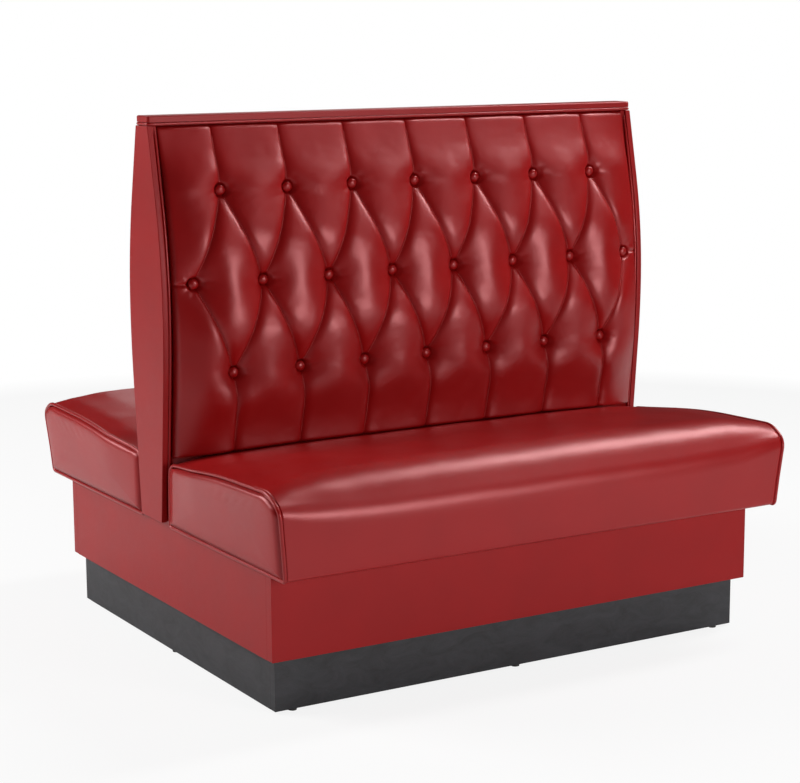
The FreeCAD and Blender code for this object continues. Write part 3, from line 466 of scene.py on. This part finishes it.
returned = bmesh.ops.extrude_edge_only(pad_form, edges=sides)["geom"]
for corner in returned:
    if isinstance(corner, bmesh.types.BMVert):
        corner.co.y = -(panel_edge(corner.co.z) - PAD_THICK)
back_edges = [edge for edge in returned if isinstance(edge, bmesh.types.BMEdge)]
bmesh.ops.bridge_loops(pad_form, edges=back_edges)
bmesh.ops.holes_fill(pad_form, edges=pad_form.edges, sides=0)
made = bmesh.ops.create_grid(pad_form, x_segments=1, y_segments=TAIL_ROWS, size=1)
for corner in made["verts"]:
    height = PAD_TAIL + (PAD_CREASE - TAIL_GAP - PAD_TAIL) * (corner.co.y + 1) / 2
    corner.co = Vector((corner.co.x * PAD_EDGE, -(panel_edge(height) - TAIL_SET_IN), height))
tail = list({face for corner in made["verts"] for face in corner.link_faces})
thick = bmesh.ops.extrude_face_region(pad_form, geom=tail, use_keep_orig=True)["geom"]
inner = [corner for corner in thick if isinstance(corner, bmesh.types.BMVert)]
bmesh.ops.translate(pad_form, verts=inner, vec=(0, TAIL_THICK, 0))
front_pad = finished(pad_form, "back_front_tufted_pad", red_vinyl, "booth", "red_vinyl")
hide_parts("back_front_pad")
rear_pad = turned_copy(front_pad, "back_rear_tufted_pad", "booth")
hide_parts("back_rear_pad")

# Pleat stitching: each pleat is caught by a fine line of stitches, which shows as a row of small beads
# in the fold, from close to one button to close to the next. Their pale colour is a painted highlight.
STITCH_STEP, STITCH_LONG, STITCH_THICK, STITCH_LIFT = 0.0040, 0.0026, 0.0009, 0.0018
STITCH_START, STITCH_AHEAD, STITCH_STOP = 0.017, 0.002, 0.004
# The beads' pale red is a painted highlight for the light dots along the pleats.
thread_painted_highlight = vinyl("thread_painted_highlight", red=(205, 92, 92), roughness=0.5)


def stitch_line(form, start, end, lines, puff):
    """Beads along a pleat between two points, each given as a place across the pad and a height."""
    run = math.hypot(end[0] - start[0], end[1] - start[1])
    count = int((run - 2 * STITCH_START) / STITCH_STEP)
    for step in range(count + 1):
        share = (STITCH_START + step * STITCH_STEP) / run
        x, height = (low + (high - low) * share for low, high in zip(start, end))
        above = share + STITCH_AHEAD / run
        next_x, next_height = (low + (high - low) * above for low, high in zip(start, end))
        depth = pad_depth(x, height, lines, puff) + STITCH_LIFT
        next_depth = pad_depth(next_x, next_height, lines, puff) + STITCH_LIFT
        (x, height), (next_x, next_height) = hung(x, height), hung(next_x, next_height)
        spot = Vector((x, -depth, height))
        onward = Vector((next_x, -next_depth, next_height)) - spot
        made = bmesh.ops.create_icosphere(form, subdivisions=1, radius=STITCH_THICK)
        shape = Matrix.Diagonal((1, 1, STITCH_LONG / (2 * STITCH_THICK), 1))
        place = Matrix.Translation(spot) @ onward.to_track_quat("Z", "Y").to_matrix().to_4x4() @ shape
        bmesh.ops.transform(form, matrix=place, verts=made["verts"])


stitch_form = bmesh.new()
for column in range(-3, 4):
    centre = column * PITCH
    for row, far in ((TOP_ROW, PAD_HIGH - STITCH_STOP), (BOTTOM_ROW, PAD_CREASE + STITCH_STOP)):
        for side in (-PITCH / 2, PITCH / 2):
            line = ((centre, row), (centre + side, MIDDLE_ROW))
            stitch_line(stitch_form, *line, [line], PUFF)
        line = ((centre, row), (centre, far))
        stitch_line(stitch_form, *line, [line], 0)
front_stitches = finished(stitch_form, "back_front_pleat_stitches", thread_painted_highlight, "booth", "red_vinyl")
turned_copy(front_stitches, "back_rear_pleat_stitches", "booth")

# Buttons: vinyl pressed over a domed metal mould, each drawn deep into the pad by its twine. Each
# stands square to the pad where it sits, so those near the ends turn with the rolled edge.
BUTTON_DOME, BUTTON_LIFT, BUTTON_SPAN = 0.66, 0.0008, 0.004
button_form = bmesh.new()
for spot_x, spot_height in button_spots:
    low, high = spot_height - BUTTON_SPAN, spot_height + BUTTON_SPAN
    lean = math.atan2(pad_floor(high) - pad_floor(low), high - low)
    drawn_to = pad_floor(spot_height)
    side_turn = math.atan2(rolled_in(spot_x - BUTTON_SPAN, spot_height, drawn_to)
                           - rolled_in(spot_x + BUTTON_SPAN, spot_height, drawn_to), 2 * BUTTON_SPAN)
    made = bmesh.ops.create_uvsphere(button_form, u_segments=28, v_segments=14, radius=BUTTON_RADIUS)
    for corner in made["verts"]:
        corner.co.z *= BUTTON_DOME
    seat = rolled_in(spot_x, spot_height, drawn_to) + BUTTON_LIFT
    place = (Matrix.Translation((spot_x, -seat, spot_height))
             @ Matrix.Rotation(side_turn, 4, "Z") @ Matrix.Rotation(math.pi / 2 - lean, 4, "X"))
    bmesh.ops.transform(button_form, matrix=place, verts=made["verts"])
front_buttons = finished(button_form, "back_front_covered_buttons", welt_vinyl, "booth", "red_vinyl")
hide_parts("back_front_buttons")
rear_buttons = turned_copy(front_buttons, "back_rear_covered_buttons", "booth")
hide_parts("back_rear_buttons")

# Welts: a cord in a strip of the vinyl, sewn or stapled between two faces. They edge the back's end
# panels, run under the cap, and go round both ends of each seat.
FLAT_ANGLE = 0.002


def rounded_cord(node, name, body):
    """The solid's cord with its flat sides rounded."""
    form = bmesh.new()
    form.from_mesh(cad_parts[node].data)
    bmesh.ops.remove_doubles(form, verts=form.verts, dist=SEAM)
    bmesh.ops.dissolve_limit(form, angle_limit=FLAT_ANGLE, verts=form.verts, edges=form.edges)
    piece = finished(form, name, welt_vinyl, body, "welt_vinyl")
    rounding = piece.modifiers.new("rounding", "SUBSURF")
    rounding.levels = rounding.render_levels = 2
    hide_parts(node)
    return piece


rounded_cord("back_left_welts", "back_left_piping", "booth")
rounded_cord("back_right_welts", "back_right_piping", "booth")
rounded_cord("cap_welt", "cap_piping", "booth")

# Upholstered boards: the end panels, the cap, and the fascias and ends of the box are plywood under
# a stretched layer of vinyl, stapled out of sight, so their edges are soft.
BACK_EDGE, BOX_EDGE = 0.0014, 0.0016
SOFT_EDGES = {"back_left_end_panel": BACK_EDGE, "back_right_end_panel": BACK_EDGE, "top_cap": BACK_EDGE,
              "box_front_fascia": BOX_EDGE, "box_rear_fascia": BOX_EDGE, "box_left_end": BOX_EDGE,
              "box_right_end": BOX_EDGE}
SHARP_ANGLE = math.radians(30)


def soften(node, finish, width, segments=3):
    """A finish for a solid that shows as it is, with its edges eased."""
    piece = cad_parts[node]
    piece.data.materials.clear()
    piece.data.materials.append(finish)
    weld = piece.modifiers.new("weld", "WELD")
    weld.merge_threshold = SEAM
    ease = piece.modifiers.new("ease", "BEVEL")
    ease.width = width
    ease.segments = segments
    ease.limit_method = "ANGLE"
    ease.angle_limit = SHARP_ANGLE
    ease.harden_normals = True


for node, width in SOFT_EDGES.items():
    soften(node, panel_vinyl, width)

# Seats: a sprung foam cushion with a crown, its cover drawn round a plywood deck and stapled below.
# The front roll overhangs the box; each end is a boxed panel edged with a welt.
SEAT_LOW = 0.2837
END_FOLD, END_FOLDS = 0.0009, 15
SEAT_HALF = 0.571
SEAT_REAR, SEAT_REACH = 0.0624, 0.557
END_THICK, CROWN_THICK = 0.1507, 0.1750
END_SHARES = ((0, 0), (0.01, 0.78), (0.49, 0.965), (0.905, 1), (0.99, 0.83), (0.975, 0))
MIDDLE_SHARES = ((0, 0), (0.01, 0.76), (0.55, 0.965), (0.9, 1), (1.01, 0.58), (0.975, 0))
END_RADII = (0.06, 0.17, 10, 0.45, 0.2, 0.06)
MIDDLE_RADII = (0.05, 0.14, 8.6, 0.52, 0.35, 0.05)
CROWN_STEPS = ((1, 0), (0.93, 0.42), (0.82, 0.76), (0.6, 0.95), (0.3, 1), (0, 1))
CROWN_TOP = 0.9
ARC_STEPS = (5, 10, 10, 12, 10, 5)
SIDE_STEPS = 5
LEAST_RADIUS = 0.0015


def crown_at(share):
    """Share of the full crown at a share of the way from the middle of the seat to its end."""
    for (far, low), (near, high) in zip(CROWN_STEPS, CROWN_STEPS[1:]):
        if share >= near:
            part = (share - near) / (far - near)
            part = smooth(part) if high == 1 and low > CROWN_TOP else part
            return high + (low - high) * part
    return 1


def seat_outline(crown, inset=0.0):
    """Points round the seat at a station, as depth and height, moved in by an inset."""
    thick = END_THICK + (CROWN_THICK - END_THICK) * crown
    corners, radii = [], []
    for low, high, low_radius, high_radius in zip(END_SHARES, MIDDLE_SHARES, END_RADII, MIDDLE_RADII):
        depth = low[0] + (high[0] - low[0]) * crown
        rise = low[1] + (high[1] - low[1]) * crown
        corners.append(Vector((SEAT_REAR + (SEAT_REACH - SEAT_REAR) * depth, SEAT_LOW + thick * rise)))
        radii.append(thick * (low_radius + (high_radius - low_radius) * crown))
    count = len(corners)
    normals = []
    for index in range(count):
        side = (corners[(index + 1) % count] - corners[index]).normalized()
        normals.append(Vector((side.y, -side.x)))
    moved = []
    for index, here in enumerate(corners):
        before, after = normals[index - 1], normals[index]
        moved.append(here + (before + after) * (inset / (1 + before.dot(after))))
    points, ends = [], []
    for index, here in enumerate(moved):
        inward = (here - moved[index - 1]).normalized()
        onward = (moved[(index + 1) % count] - here).normalized()
        half_turn = inward.angle(onward) / 2
        radius = max(radii[index] - inset, LEAST_RADIUS)
        reach = radius * math.tan(half_turn)
        centre = here + (onward - inward).normalized() * (radius / math.cos(half_turn))
        ends.append((here - inward * reach, here + onward * reach, centre, radius))
    for index, (begin, end, centre, radius) in enumerate(ends):
        before = ends[index - 1][1]
        points += [before.lerp(begin, step / SIDE_STEPS) for step in range(SIDE_STEPS)]
        start_turn = math.atan2(*(begin - centre).yx)
        sweep = math.atan2(*(end - centre).yx) - start_turn
        sweep = (sweep + math.pi) % (2 * math.pi) - math.pi
        steps = ARC_STEPS[index]
        points += [centre + Vector((math.cos(start_turn + sweep * step / steps),
                                    math.sin(start_turn + sweep * step / steps))) * radius
                   for step in range(steps)]
    return points + points[:1]


WELT_ROOM = 0.0070
PILLOW, PILLOW_POWER = 0.006, 6
GROOVE_DEPTH = 0.004
END_LEAN, LEAN_START, LEAN_FULL = 0.108, 0.09, 0.22
BOX_FRONT, BOX_SIDE, LIP_DROOP, LIP_HEIGHT = 0.4675, 0.5515, 0.0095, 0.05
FRONT_LIP_START, FRONT_LIP_FULL = 0.003, 0.020
SIDE_LIP_START, SIDE_LIP_FULL, LIP_FLOOR = 0.001, 0.007, -0.001
body_end = SEAT_HALF - PILLOW - WELT_ROOM


def smooth_share(number, low, high):
    """How far a number is from low to high, eased at both ends and held outside them."""
    return smooth(min(max((number - low) / (high - low), 0), 1))


def sat_in(x, depth, height):
    """The seat's own sag: its ends lean out towards the front, and its lip hangs over the box."""
    rise = height - SEAT_LOW
    x *= 1 + END_LEAN * rise / SEAT_HALF * smooth_share(depth, LEAN_START, LEAN_FULL)
    hang = max(smooth_share(depth, BOX_FRONT + FRONT_LIP_START, BOX_FRONT + FRONT_LIP_FULL),
               smooth_share(abs(x), BOX_SIDE + SIDE_LIP_START, BOX_SIDE + SIDE_LIP_FULL))
    height -= LIP_DROOP * hang * (1 - smooth_share(rise, LIP_FLOOR, LIP_HEIGHT))
    return Vector((x, -depth, height))


END_RINGS, BODY_STEPS, BODY_EASE = 14, 90, 1.35
end_shares = [ring / (END_RINGS - 1) for ring in range(END_RINGS)]
groove_floor, groove_edge = body_end - GROOVE_DEPTH, SEAT_HALF - PILLOW
seat_stations = [("near_pillow", share) for share in end_shares]
seat_stations += [("groove", -groove_edge), ("groove", -groove_floor)]
seat_stations += [("body", -1 + 2 * step / BODY_STEPS) for step in range(BODY_STEPS + 1)]
seat_stations += [("groove", groove_floor), ("groove", groove_edge)]
seat_stations += [("far_pillow", 1 - share) for share in end_shares]
pillow_rim = seat_outline(0, WELT_ROOM)
pillow_heart = sum((Vector(point) for point in pillow_rim[:-1]), Vector((0, 0))) / (len(pillow_rim) - 1)


def seat_ring(kind, share):
    """A station's place along the seat, with its points as depth and height."""
    if kind.endswith("pillow"):
        along = SEAT_HALF - PILLOW + PILLOW * math.sqrt(max(1 - share ** PILLOW_POWER, 0))
        points = [pillow_heart.lerp(point, share) for point in pillow_rim]
        return (-along if kind == "near_pillow" else along), points
    if kind == "groove":
        return share, pillow_rim
    along = math.copysign(1 - (1 - abs(share)) ** BODY_EASE, share)
    return along * body_end, seat_outline(crown_at(abs(along)))


FOLD_SWAY, FOLD_SWAY_GRAIN = 0.4, 40
CROWN_UNEVEN, CROWN_GRAIN, UNEVEN_START, UNEVEN_FULL = 0.0014, 9, 0.05, 0.12
seat_form = bmesh.new()
rings = [seat_ring(*station) for station in seat_stations]
around = len(rings[0][1])
made = bmesh.ops.create_grid(seat_form, x_segments=len(rings) - 1, y_segments=around - 1, size=1)
for corner in made["verts"]:
    station = round((corner.co.x + 1) / 2 * (len(rings) - 1))
    step = round((corner.co.y + 1) / 2 * (around - 1))
    x, points = rings[station]
    depth, height = points[step]
    kind, share = seat_stations[station]
    if kind.endswith("pillow"):
        sway = FOLD_SWAY * math.sin(FOLD_SWAY_GRAIN * height)
        folds = math.sin(math.tau * (END_FOLDS * depth + sway)) * depth / SEAT_REACH
        x += math.copysign(END_FOLD * folds * share * (1 - share) * 4, x)
    elif kind == "body":
        unevenness = uneven(x, depth, 0, CROWN_UNEVEN, CROWN_GRAIN)
        height += unevenness * smooth_share(height, SEAT_LOW + UNEVEN_START, SEAT_LOW + UNEVEN_FULL)
    corner.co = sat_in(x, depth, height)
front_seat = finished(seat_form, "front_seat_cover", red_vinyl, "front_seat", "red_vinyl")
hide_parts("front_seat_cushion")
rear_seat = turned_copy(front_seat, "rear_seat_cover", "rear_seat")
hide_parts("rear_seat_cushion")

# Seat welts: the same cord, let into a groove round both ends of each seat, so that it leans and
# hangs with the cover.
SEAT_WELT, SEAT_WELT_PROUD = 0.0037, 0.0024
SEAT_WELT_SIDES = 14
cord_form = bmesh.new()
cord_line = seat_outline(0, SEAT_WELT - SEAT_WELT_PROUD)
steps_round = len(cord_line) - 1
for side in (-1, 1):
    made = bmesh.ops.create_grid(cord_form, x_segments=steps_round, y_segments=SEAT_WELT_SIDES, size=1)
    for corner in made["verts"]:
        step = round((corner.co.x + 1) / 2 * steps_round) % steps_round
        turn = (corner.co.y + 1) * math.pi
        ahead = cord_line[(step + 1) % steps_round] - cord_line[step - 1]
        outward = Vector((ahead.y, -ahead.x)).normalized()
        depth, height = cord_line[step] + outward * (SEAT_WELT * math.sin(turn))
        along = SEAT_HALF - PILLOW - WELT_ROOM / 2 + SEAT_WELT * math.cos(turn)
        corner.co = sat_in(side * along, depth, height)
front_cords = finished(cord_form, "front_seat_piping", welt_vinyl, "front_seat", "welt_vinyl")
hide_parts("front_seat_welts")
rear_cords = turned_copy(front_cords, "rear_seat_piping", "rear_seat")
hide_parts("rear_seat_welts")

# Base: a recessed kick box faced with a charcoal laminate that has a faint stone vein, so shoes
# don't mark the vinyl.
BASE_BOARDS = ("base_front_board", "base_rear_board", "base_left_end", "base_right_end")
LAMINATE_DARK, LAMINATE_LIGHT = (40, 40, 42), (60, 60, 64)
LAMINATE_EDGE = 0.0008


def charcoal_laminate(name):
    made, shader, start, place = finish_named(name)
    turned = start.node("ShaderNodeMapping", Vector=place, Rotation=(0.2, 0.55, 0.3), Scale=(1, 1, 2.2))
    vein = start.node("ShaderNodeTexNoise", Vector=turned, Scale=14, Detail=9, Roughness=0.72,
                      Distortion=1.1)
    speck = start.node("ShaderNodeTexNoise", Vector=place, Scale=420, Detail=2)
    mix = vein * 0.8 + speck * 0.2
    stops = ((0.36, linear(*LAMINATE_DARK)), (0.66, linear(*LAMINATE_LIGHT)))
    shade = start.node("ShaderNodeValToRGB", {"stops": stops}, Fac=mix)
    start.feed(shader.inputs["Base Color"], shade)
    start.feed(shader.inputs["Roughness"], speck * 0.15 + 0.42)
    bump = start.node("ShaderNodeBump", Strength=0.2, Distance=0.0002, Height=vein + speck)
    start.feed(shader.inputs["Normal"], bump)
    return made


black_board = charcoal_laminate("black_board")
for node in BASE_BOARDS:
    soften(node, black_board, LAMINATE_EDGE, 2)

# Boards inside: birch plywood for the carcase, the seats' decks and their battens, cut and glued up.
# It shows only when a seat is drawn away.
BIRCH_DARK, BIRCH_LIGHT = (176, 143, 100), (209, 178, 133)
BIRCH_EDGE = 0.0006


def birch_plywood(name):
    made, shader, start, place = finish_named(name)
    stretched = start.node("ShaderNodeMapping", Vector=place, Scale=(3, 60, 60))
    grain = start.node("ShaderNodeTexNoise", Vector=stretched, Scale=6, Detail=6, Roughness=0.6)
    stops = ((0.35, linear(*BIRCH_DARK)), (0.65, linear(*BIRCH_LIGHT)))
    shade = start.node("ShaderNodeValToRGB", {"stops": stops}, Fac=grain)
    start.feed(shader.inputs["Base Color"], shade)
    start.feed(shader.inputs["Roughness"], grain * 0.2 + 0.5)
    bump = start.node("ShaderNodeBump", Strength=0.2, Distance=0.0003, Height=grain)
    start.feed(shader.inputs["Normal"], bump)
    return made


plywood = birch_plywood("plywood")
finished_elsewhere = {*SOFT_EDGES, *BASE_BOARDS, "floor_glides"}
hidden_boards = [name for name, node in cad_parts.items()
                 if name not in finished_elsewhere and not node.hide_render]
for name in hidden_boards:
    soften(name, plywood, BIRCH_EDGE, 1)

# Glides: nylon buttons, each nailed into the underside of a base board, that keep the boards off the
# floor.
NYLON_DARK, NYLON_LIGHT = (58, 56, 54), (76, 74, 72)
NYLON_EDGE = 0.0006


def moulded_nylon(name):
    made, shader, start, place = finish_named(name)
    speck = start.node("ShaderNodeTexNoise", Vector=place, Scale=600, Detail=2)
    stops = ((0.3, linear(*NYLON_DARK)), (0.7, linear(*NYLON_LIGHT)))
    shade = start.node("ShaderNodeValToRGB", {"stops": stops}, Fac=speck)
    start.feed(shader.inputs["Base Color"], shade)
    start.feed(shader.inputs["Roughness"], speck * 0.2 + 0.4)
    return made


soften("floor_glides", moulded_nylon("glide_plastic"), NYLON_EDGE, 2)
